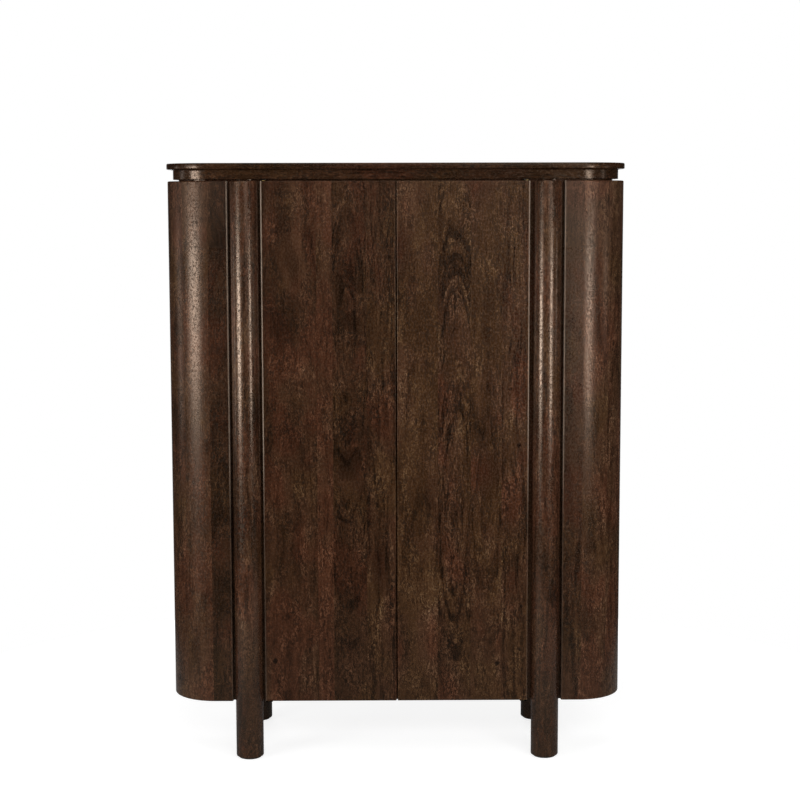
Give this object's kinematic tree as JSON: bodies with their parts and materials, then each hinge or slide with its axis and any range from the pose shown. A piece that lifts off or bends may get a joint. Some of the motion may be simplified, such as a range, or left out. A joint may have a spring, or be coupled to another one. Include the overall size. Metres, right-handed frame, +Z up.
{
  "type": "storage cabinet",
  "caption": "Tall free-standing storage cabinet with curved coopered sides, round posts and two pivoting doors over adjustable shelves.",
  "frame": {"origin": "on the floor, under the middle of the cabinet's box", "axes": "+X to the right as seen from the front, +Y to the back, +Z up; the doors face -Y"},
  "size_m": [1, 0.36, 1.3],
  "materials": {
    "stained_wood": "dark walnut-brown stain under satin lacquer, open pores",
    "door_wood": "dark walnut-brown stain under satin lacquer, glued planks with cathedral figure",
    "post_wood": "turned dark-stained wood under satin lacquer",
    "inside_wood": "dark-stained wood, thin matt lacquer",
    "dark_steel": "blackened",
    "bright_steel": "zinc plated",
    "brass": "turned, plain",
    "black_plastic": "moulded, matt",
    "felt": "pressed felt"
  },
  "bodies": {
    "cabinet": {"top_slab": "stained_wood", "neck_front_rail": "stained_wood", "neck_back_rail": "stained_wood", "neck_left_end": "stained_wood", "neck_right_end": "stained_wood", "case_top_panel": "inside_wood", "case_bottom_panel": "inside_wood", "left_side_shell": "stained_wood", "right_side_shell": "stained_wood", "back_panel": "inside_wood", "left_post_stile": "inside_wood", "right_post_stile": "inside_wood", "left_front_post": "post_wood", "right_front_post": "post_wood", "left_back_leg": "post_wood", "right_back_leg": "post_wood", "front_left_glide": "felt", "front_right_glide": "felt", "back_left_glide": "felt", "back_right_glide": "felt", "left_post_bolt_lower": "dark_steel", "left_post_bolt_upper": "dark_steel", "right_post_bolt_lower": "dark_steel", "right_post_bolt_upper": "dark_steel", "lower_shelf": "inside_wood", "upper_shelf": "inside_wood", "lower_shelf_pin_front_left": "bright_steel", "lower_shelf_pin_front_right": "bright_steel", "lower_shelf_pin_back_left": "bright_steel", "lower_shelf_pin_back_right": "bright_steel", "upper_shelf_pin_front_left": "bright_steel", "upper_shelf_pin_front_right": "bright_steel", "upper_shelf_pin_back_left": "bright_steel", "upper_shelf_pin_back_right": "bright_steel", "left_top_pivot_plate": "dark_steel", "left_bottom_pivot_plate": "dark_steel", "right_top_pivot_plate": "dark_steel", "right_bottom_pivot_plate": "dark_steel", "left_top_pivot_pin": "bright_steel", "left_bottom_pivot_pin": "bright_steel", "right_top_pivot_pin": "bright_steel", "right_bottom_pivot_pin": "bright_steel", "left_top_plate_screw_1": "bright_steel", "left_top_plate_screw_2": "bright_steel", "left_bottom_plate_screw_1": "bright_steel", "left_bottom_plate_screw_2": "bright_steel", "right_top_plate_screw_1": "bright_steel", "right_top_plate_screw_2": "bright_steel", "right_bottom_plate_screw_1": "bright_steel", "right_bottom_plate_screw_2": "bright_steel", "catch_body": "black_plastic", "catch_magnet": "dark_steel"},
    "left_door": {"left_door": "door_wood", "left_top_bush": "brass", "left_bottom_bush": "brass", "left_strike_plate": "bright_steel"},
    "right_door": {"right_door": "door_wood", "right_top_bush": "brass", "right_bottom_bush": "brass", "right_strike_plate": "bright_steel"}
  },
  "joints": [
    {"name": "left_door_hinge", "type": "hinge", "parent": "cabinet", "child": "left_door", "pos_m": [-0.2825, -0.14, 0.693], "axis": [0, 0, -1], "range_deg": [0, 100]},
    {"name": "right_door_hinge", "type": "hinge", "parent": "cabinet", "child": "right_door", "pos_m": [0.279, -0.14, 0.693], "axis": [0, 0, 1], "range_deg": [0, 100]}
  ]
}
